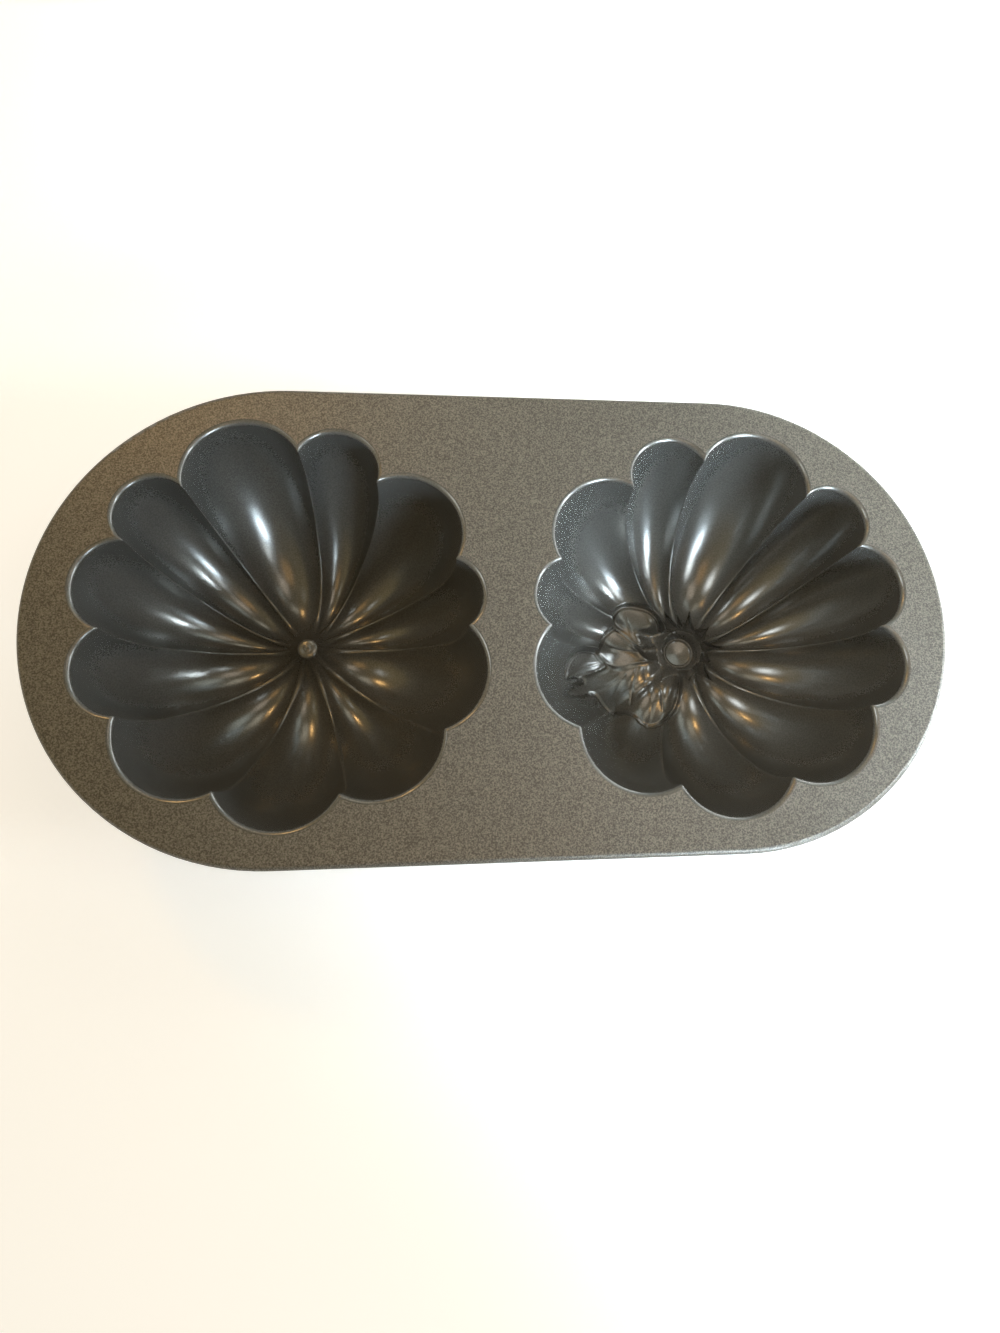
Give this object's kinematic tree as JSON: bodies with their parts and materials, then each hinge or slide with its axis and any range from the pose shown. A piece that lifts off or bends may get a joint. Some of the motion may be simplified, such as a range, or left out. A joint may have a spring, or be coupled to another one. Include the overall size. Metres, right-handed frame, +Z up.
{
  "type": "pumpkin cake pan",
  "caption": "Oblong cast baking pan with lobed cups that bake the lower and the stem half of a round pumpkin cake.",
  "frame": {"origin": "middle of the pan, on the surface that it rests on", "axes": "+Z up out of the cups, +X along the pan from the blossom half to the stem half, +Y across it"},
  "size_m": [0.406, 0.211, 0.081],
  "materials": {
    "deck_nonstick": "matt speckled nonstick coating on cast aluminium",
    "cup_nonstick": "satin dark nonstick coating on cast aluminium"
  },
  "bodies": {
    "root": {"deck": "deck_nonstick", "blossom_half_cup": "cup_nonstick", "stem_half_cup": "cup_nonstick"}
  },
  "joints": []
}
